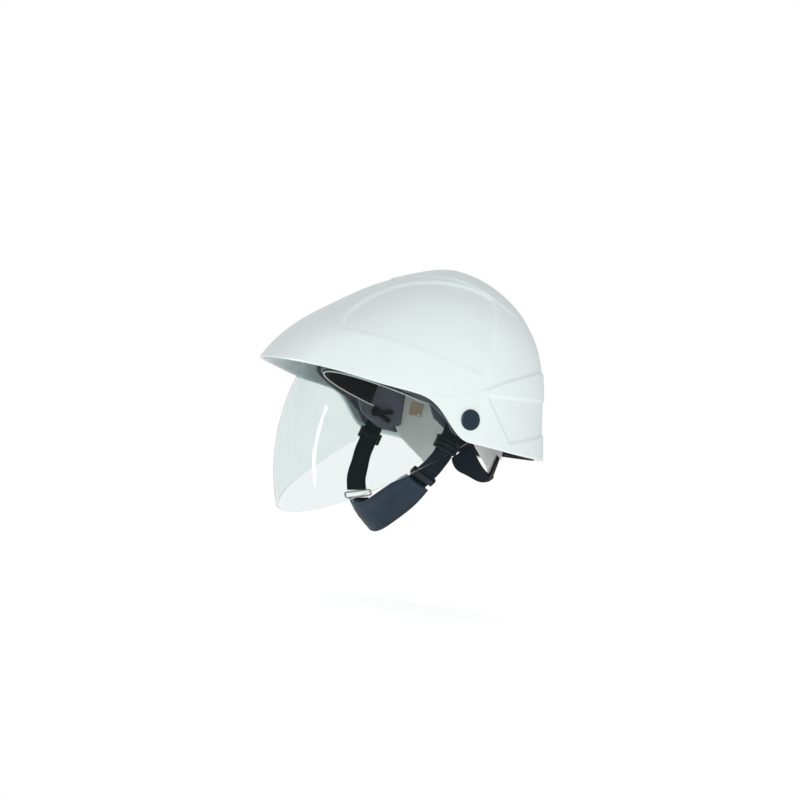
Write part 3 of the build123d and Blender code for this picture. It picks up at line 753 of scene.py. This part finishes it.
def make_nape():
    ax, ay = BAND_X + 0.7, BAND_Y + 0.7
    start = np.arccos(-66 / ay)
    a = np.linspace(start, 2 * pi - start, 160)
    y = -ay * np.cos(a)
    low = np.interp(y, [62, 76, 92, 108], [-30.5, -28.5, -30.5, -31.5])
    high = np.interp(y, [66, 84, 108], [-14, -12, -14])
    centre = ellipse(ax, ay, a, (low + high) / 2)
    section = pad_section(22, 0.88)
    pad = strip("nape_cushion", centre, up_vectors(160), high - low, 3.0, section, lump=0.06, seed=7)
    finish_piece(pad, "nape", SWEAT, ["nape_pad"])
    ax, ay = BAND_X + 5.4, BAND_Y + 5.4
    for side, word in ((1, "left"), (-1, "right")):
        if side > 0:
            ys = np.linspace(15.2, 68, 110)
            top = smooth(ys, [15, 20, 28, 43, 56, 68], [-18.5, -22, -28.5, -40, -46, -48])
            low = smooth(ys, [15, 18, 23, 31, 43, 58, 68], [-42, -47.5, -51, -53, -56, -55, -50.5])
            points = [(58.0, -52.5, 6.0), (62.5, -47.5, 6.4), (66.3, -40.0, 6.0)]
            points += [(69.5, -33.0, 5.4), (71.0, -29.0, 4.6)]
        else:
            ys = np.linspace(24.0, 72, 110)
            top = smooth(ys, [24, 32, 45, 60, 72], [-2.5, -5, -12, -16, -16.5])
            low = smooth(ys, [24, 34, 48, 62, 72], [-11, -19, -27, -31, -26.5])
            points = [(63.0, -29.5, 5.0), (67.0, -27.0, 5.4), (70.5, -22.5, 5.2), (73.0, -17.5, 4.6)]
        x = side * ax * np.sqrt(1 - (ys / ay) ** 2)
        sag = 0.5 * np.sin((ys - ys[0]) / 56 * pi * 3)
        centre = np.stack([x, ys, (top + low) / 2], -1)
        centre = centre + np.stack([side * 0.25 * sag, 0 * ys, 0 * ys], -1)
        section = flat_section(14)
        up = up_vectors(110)
        web = strip("nape_strap_web_" + word, centre, up, top - low, 1.5, section, lump=0.05, seed=9)
        finish_piece(web, "nape", WEB, ["nape_strap_" + word])
        line = resample(points, 40)
        x = side * (ax + 0.9) * np.sqrt(1 - (line[:, 0] / (ay + 0.9)) ** 2)
        hook = np.stack([x, line[:, 0], line[:, 1]], -1)
        across = unit(np.stack([side * -0.55 + 0 * x, 0.9 + 0 * x, 0.5 + 0 * x], -1))
        piece = strip("nape_hook_" + word, hook, across, line[:, 2], 2.2, flat_section(14, 0.5), ends=2)
        finish_piece(piece, "nape", BUCKLE)


# Black padded strip on the shell's inner rear wall; its dark colour is painted shade, for the shade that
# falls under the rear rim.
def make_rear_shade_pad():
    start = np.arccos(-(53.5 - APEX_Y) / 114)
    a = np.linspace(start, 2 * pi - start, 240)
    y = APEX_Y - 113.9 * np.cos(a)
    low = np.interp(y, [52, 72, 99], [-22.5, -25.5, -27.4])
    centre = ellipse(104.5, 113.9, a, (low - 10.2) / 2, APEX_Y)
    section = pad_section(20, 0.95)
    pad = strip("rear_painted_shade_pad", centre, up_vectors(240), -10.2 - low, 2.9, section, lump=0.05, seed=11)
    finish_piece(pad, "shell", SHADE_PAD_BLACK, ["rear_liner"])


def dome_rivet(name, place, out, radius, high):
    """Small domed rivet head lying on a surface."""
    out = unit(np.asarray(out, float))
    across = unit(np.cross(out, [0.1, 0.2, 1.0]))
    up = np.cross(out, across)
    a = np.linspace(0, 2 * pi, 28, endpoint=False)[:, None]
    verts = []
    for r, h in ((1, -0.5), (1, 0.25), (0.93, 0.5), (0.78, 0.72), (0.5, 0.92), (0.2, 1.0)):
        ring = across * np.cos(a) + up * np.sin(a)
        verts.append(np.asarray(place) + ring * radius * r + out * high * h)
    faces = grid_faces(6, 28, wrap_cols=True)
    faces += [tuple(range(28)), tuple(5 * 28 + 27 - j for j in range(28))]
    return outward(mesh_object(name, np.concatenate(verts), faces))


def make_size_tabs():
    for side, word in ((1, "left"), (-1, "right")):
        ys = np.linspace(37.2, 49.8, 30)
        ax, ay = BAND_X + 1.5, BAND_Y + 1.5
        x = side * ax * np.sqrt(1 - (ys / ay) ** 2)
        mid = np.interp(ys, [37, 50], [8, 7.5])
        tab = strip("size_tab_leather_" + word, np.stack([x, ys, mid], -1), up_vectors(30), 14.2, 1.3,
                    flat_section(12, 0.25), ends=2)
        finish_piece(tab, "shell", TAN, ["size_tab_" + word])
        y = 46.5
        x = side * ax * sqrt(1 - (y / ay) ** 2)
        out = unit(np.array([-x / ax**2, -y / ay**2, 0]))
        rivet = dome_rivet("tab_rivet_" + word, np.array([x, y, 2.9]) + out * 0.6, out, 1.5, 0.7)
        finish_piece(rivet, "shell", STEEL)


# ---------------------------------------------------------------- chin strap
WEB_W, WEB_T = 20.0, 1.6
GUARD_T, GUARD_LIFT = 3.9, 3.5
HANG_X, HANG_Y, HANG_Z = 82.5, 5.0, -9.0
KEEPER, KEEPER_RUN = np.array([64.8, -11.2, -58.8]), unit(np.array([-9.0, -1.5, -7.5]))
RING_CENTRE, RING_RUN = np.array([-49.15, -20.15, -87.8]), unit(np.array([10.7, -1.3, -7.6]))
# chin guard line from the keeper to the wire ring: x, y, z, width, lean of the width
GUARD = [(59.2, -12.4, -63.5, 27, -0.7), (54.0, -13.5, -67.6, 29, -0.8), (42.0, -16.5, -77.5, 32, -1.0),
         (28.0, -20.0, -88.0, 33, -1.25), (14.0, -23.5, -98.0, 33, -1.5), (2.0, -25.5, -104.5, 33, -1.6),
         (-10.0, -26.5, -106.0, 33, -1.4), (-22.0, -25.8, -103.0, 31, -1.0), (-33.0, -23.2, -98.0, 28, -0.5),
         (-41.0, -21.4, -93.6, 25, 0.1)]


def along(start, run, lengths, width, lean):
    return [(*(start + run * t), width, lean) for t in lengths]


def hanger_sections(side):
    rivet = np.array([side * HANG_X, HANG_Y, HANG_Z])
    run = np.array([-side * 0.0179, -0.2982, -0.9543])
    path = along(rivet, run, [-11, -5, 0, 7, 14, 21, 28], WEB_W, -0.3)
    if side > 0:
        path += [(79.6, -6.0, -42.2, WEB_W, -0.4), (75.4, -8.6, -49.2, WEB_W, -0.6)]
        return path + along(KEEPER, KEEPER_RUN, [-6, -0.4], WEB_W, -0.7)
    path += [(-79.6, -7.2, -46.5, WEB_W, -0.25), (-75.0, -10.6, -57.5, WEB_W, -0.1)]
    return path + [(-64.6, -17.2, -72.5, WEB_W, 0.22), (*(RING_CENTRE - RING_RUN * 6.9), WEB_W, 0.5)]


def make_hangers():
    for side, word in ((1, "left"), (-1, "right")):
        line, wide, out, width = lay(hanger_sections(side), 140)
        section = flat_section(16)
        web = strip("hanger_web_" + word, line, wide, width, WEB_T, section, lump=0.04, seed=13 + side)
        finish_piece(web, "chin", WEB, ["hanger_" + word])
        if (out[:, 0] * side).sum() < 0:
            out = -out
        # box of bar tacks below the rivet and two rows above the strap's lower end
        far = np.concatenate([[0], np.cumsum(np.linalg.norm(np.diff(line, axis=0), axis=1))])
        rows = []
        for start in (15.6, far[-1] - 17):
            first, last = np.searchsorted(far, start), np.searchsorted(far, start + 5)
            for k in (first, last):
                ts = np.linspace(-8, 8, 24)[:, None]
                rows.append((line[k] + wide[k] * ts + out[k] * 0.85, np.tile(out[k], (24, 1))))
            if start > 20:
                continue
            for off in (-8, 8):
                part = slice(first, last + 1)
                rows.append((line[part] + wide[part] * off + out[part] * 0.85, out[part]))
        tack = stitches("bar_tack_" + word, rows, 1.6, 0.7, 0.24)
        finish_piece(tack, "chin", THREAD)


def folded_section(m=72, seam=0.88, ridge=-0.15, fold=2.3, thick=GUARD_T):
    """Stuffed strip with one soft crease along it, bent round the chin."""
    base = pad_section(m, seam)
    bend = fold * (0.5 - np.abs(base[:, 0] - ridge))
    dent = -0.5 * np.exp(-((base[:, 0] - ridge) / 0.05) ** 2) * (base[:, 1] > 0)
    return np.stack([base[:, 0], base[:, 1] * (1 + dent) + bend / (thick / 2)], 1)


def make_chin():
    line, wide, out, width = lay(GUARD[:-1], 170, GUARD_LIFT)
    section = folded_section()
    guard = strip("chin_guard_pad", line, wide, width, GUARD_T, section, lump=0.05, seed=21, ends=3)
    finish_piece(guard, "chin", LEATHER, ["chin_guard"])
    rows = []
    for off in (-0.885, 0.885):
        k = int(np.argmin(np.abs(section[:len(section) // 2, 0] - off)))
        lift = section[k, 1] * GUARD_T / 2 + 0.12
        rows.append(((line + wide * (width / 2 * off)[:, None] + out * lift)[5:-5], out[5:-5]))
    seam = stitches("guard_stitching", rows, 2.6, 1.3, 0.26)
    finish_piece(seam, "chin", THREAD)
    lead = along(KEEPER, KEEPER_RUN, [0.4, 6], WEB_W, -0.7)
    mid = [(g[0], g[1], g[2], WEB_W, g[4]) for g in GUARD[1:]]
    tail = [(*(RING_CENTRE + RING_RUN * 6.2), WEB_W, 0.4)]
    inner, wide, out, width = lay(lead + mid + tail, 180)
    web = strip("chin_web", inner, wide, width, WEB_T, flat_section(14), lump=0.04, seed=23)
    finish_piece(web, "chin", WEB, ["chin_webbing"])


make_shell()
make_visor()
make_sweatband()
make_crown()
make_nape()
make_rear_shade_pad()
make_size_tabs()
make_hangers()
make_chin()

# looks of the nodes kept from the CAD, by the start of their names
CAD_LOOKS = {"pivot_cap": CAP, "pivot_bushing": BUSHING, "pivot_screw": STEEL, "detent_clip": DETENT,
             "inner_frame": SLATE, "headband": SLATE, "nape_band": GREY, "crown_clip": GREY,
             "strap_anchor": DETENT, "strap_rivet": STEEL, "slide_buckle": BUCKLE, "keeper": BUCKLE,
             "wire_ring": WIRE}
for name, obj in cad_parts.items():
    for start, look in CAD_LOOKS.items():
        if name.startswith(start):
            obj.data.materials.clear()
            obj.data.materials.append(look)
            weld = obj.modifiers.new("weld", "WELD")
            weld.merge_threshold = 0.000001
            bevel = obj.modifiers.new("soft_edges", "BEVEL")
            bevel.width, bevel.segments = 0.00025, 2
            bevel.limit_method, bevel.angle_limit = "ANGLE", radians(40)

# ---------------------------------------------------------------- stage
low_z = cad_box[0][2]
FLOOR_GAP = 0.07
BELOW, ABOVE = 0.85, 0.5  # brightness of the surroundings under and over the hat


def floor_material():
    m, nodes, links, shader = new_material("floor_pale")
    shader.inputs["Base Color"].default_value = (0.6, 0.6, 0.6, 1)
    shader.inputs["Roughness"].default_value = 0.9
    shader.inputs["Emission Color"].default_value = (1, 1, 1, 1)
    shader.inputs["Emission Strength"].default_value = 0.62
    coords = nodes.new("ShaderNodeTexCoord")
    length = nodes.new("ShaderNodeVectorMath")
    length.operation = "LENGTH"
    links.new(coords.outputs["Object"], length.inputs[0])
    fade = nodes.new("ShaderNodeMapRange")
    fade.inputs["From Min"].default_value, fade.inputs["From Max"].default_value = 0.1, 0.9
    fade.inputs["To Min"].default_value, fade.inputs["To Max"].default_value = 1.0, 0.0
    links.new(length.outputs["Value"], fade.inputs["Value"])
    # one-sided, so that the floor doesn't hide the hat from underneath
    facing = nodes.new("ShaderNodeNewGeometry")
    front = nodes.new("ShaderNodeMath")
    front.operation = "SUBTRACT"
    front.use_clamp = True
    links.new(fade.outputs["Result"], front.inputs[0])
    links.new(facing.outputs["Backfacing"], front.inputs[1])
    links.new(front.outputs["Value"], shader.inputs["Alpha"])
    return m


floor_centre = (0, 0, low_z - FLOOR_GAP)
bpy.ops.mesh.primitive_circle_add(vertices=96, radius=1.2, fill_type="NGON", location=floor_centre)
floor = bpy.context.object
floor.name = "floor"
floor.data.materials.append(floor_material())

world = bpy.data.worlds.new("studio")
bpy.context.scene.world = world
world.use_nodes = True
wn, wl = world.node_tree.nodes, world.node_tree.links
back = wn["Background"]
back.inputs["Color"].default_value = (1, 1, 1, 1)
sky = wn.new("ShaderNodeTexCoord")
height = wn.new("ShaderNodeSeparateXYZ")
wl.new(sky.outputs["Generated"], height.inputs["Vector"])
dim = wn.new("ShaderNodeMapRange")
dim.inputs["From Min"].default_value, dim.inputs["From Max"].default_value = -0.8, 0.9
dim.inputs["To Min"].default_value, dim.inputs["To Max"].default_value = BELOW, ABOVE
wl.new(height.outputs["Z"], dim.inputs["Value"])
wl.new(dim.outputs["Result"], back.inputs["Strength"])
seen = wn.new("ShaderNodeBackground")
seen.inputs["Color"].default_value = (1, 1, 1, 1)
seen.inputs["Strength"].default_value = 1.0
path = wn.new("ShaderNodeLightPath")
mix = wn.new("ShaderNodeMixShader")
either = wn.new("ShaderNodeMath")
either.operation = "MAXIMUM"
wl.new(path.outputs["Is Camera Ray"], either.inputs[0])
wl.new(path.outputs["Is Transmission Ray"], either.inputs[1])
wl.new(either.outputs["Value"], mix.inputs["Fac"])
wl.new(back.outputs["Background"], mix.inputs[1])
wl.new(seen.outputs["Background"], mix.inputs[2])
wl.new(mix.outputs["Shader"], wn["World Output"].inputs["Surface"])

# camera: the hat is seen a little nose-up
AZ, EL, PITCH, DISTANCE = radians(62), radians(3), radians(10), 1.5


def level(v):
    """From the picture's level to the hat's own frame."""
    c, s = cos(PITCH), sin(PITCH)
    return Vector((v[0], v[1] * c - v[2] * s, v[1] * s + v[2] * c))


cam_back = level((sin(AZ) * cos(EL), -cos(AZ) * cos(EL), sin(EL)))
cam_right = level((cos(AZ), sin(AZ), 0))
cam_up = cam_back.cross(cam_right)
camera = bpy.data.objects.new("camera", bpy.data.cameras.new("camera"))
bpy.context.scene.collection.objects.link(camera)
target = Vector((0, 0.007, 0))
rotation = Matrix((cam_right, cam_up, cam_back)).transposed().to_4x4()
camera.matrix_world = Matrix.Translation(target + cam_back * DISTANCE) @ rotation
camera.data.lens, camera.data.sensor_width = 67.5, 36
camera.data.shift_x, camera.data.shift_y = -17 / 800, 15 / 800
bpy.context.scene.camera = camera


# a light with glossy off isn't mirrored in the visor, and one with diffuse off is seen only as a reflection
def softbox(name, offset, size, power, size_y=None, glossy=True, diffuse=True):
    """Area light facing the hat, placed by (right, up, towards the camera) from it, in metres."""
    data = bpy.data.lights.new(name, "AREA")
    data.energy, data.size = power, size
    if size_y:
        data.shape, data.size_y = "RECTANGLE", size_y
    lamp = bpy.data.objects.new(name, data)
    bpy.context.scene.collection.objects.link(lamp)
    place = target + cam_right * offset[0] + cam_up * offset[1] + cam_back * offset[2]
    facing = (place - target).normalized()
    lamp.location = place
    lamp.rotation_euler = facing.to_track_quat("Z", "Y").to_euler()
    lamp.visible_camera = lamp.visible_transmission = False
    lamp.visible_glossy = glossy
    lamp.visible_diffuse = diffuse
    return lamp


softbox("front", (0.5, -0.6, 1.5), 1.0, 14.5, glossy=False)
softbox("key", (-0.7, 1.5, 1.0), 1.3, 4.5)
softbox("top", (0, 1.8, -0.2), 1.2, 3, glossy=False)
softbox("rear", (-0.5, 0.5, -1.6), 1.2, 6, glossy=False)
softbox("strip", (-1.5, 0.2, 0.9), 0.12, 45.0, 1.1, diffuse=False)
bpy.context.scene.view_settings.view_transform = "Standard"
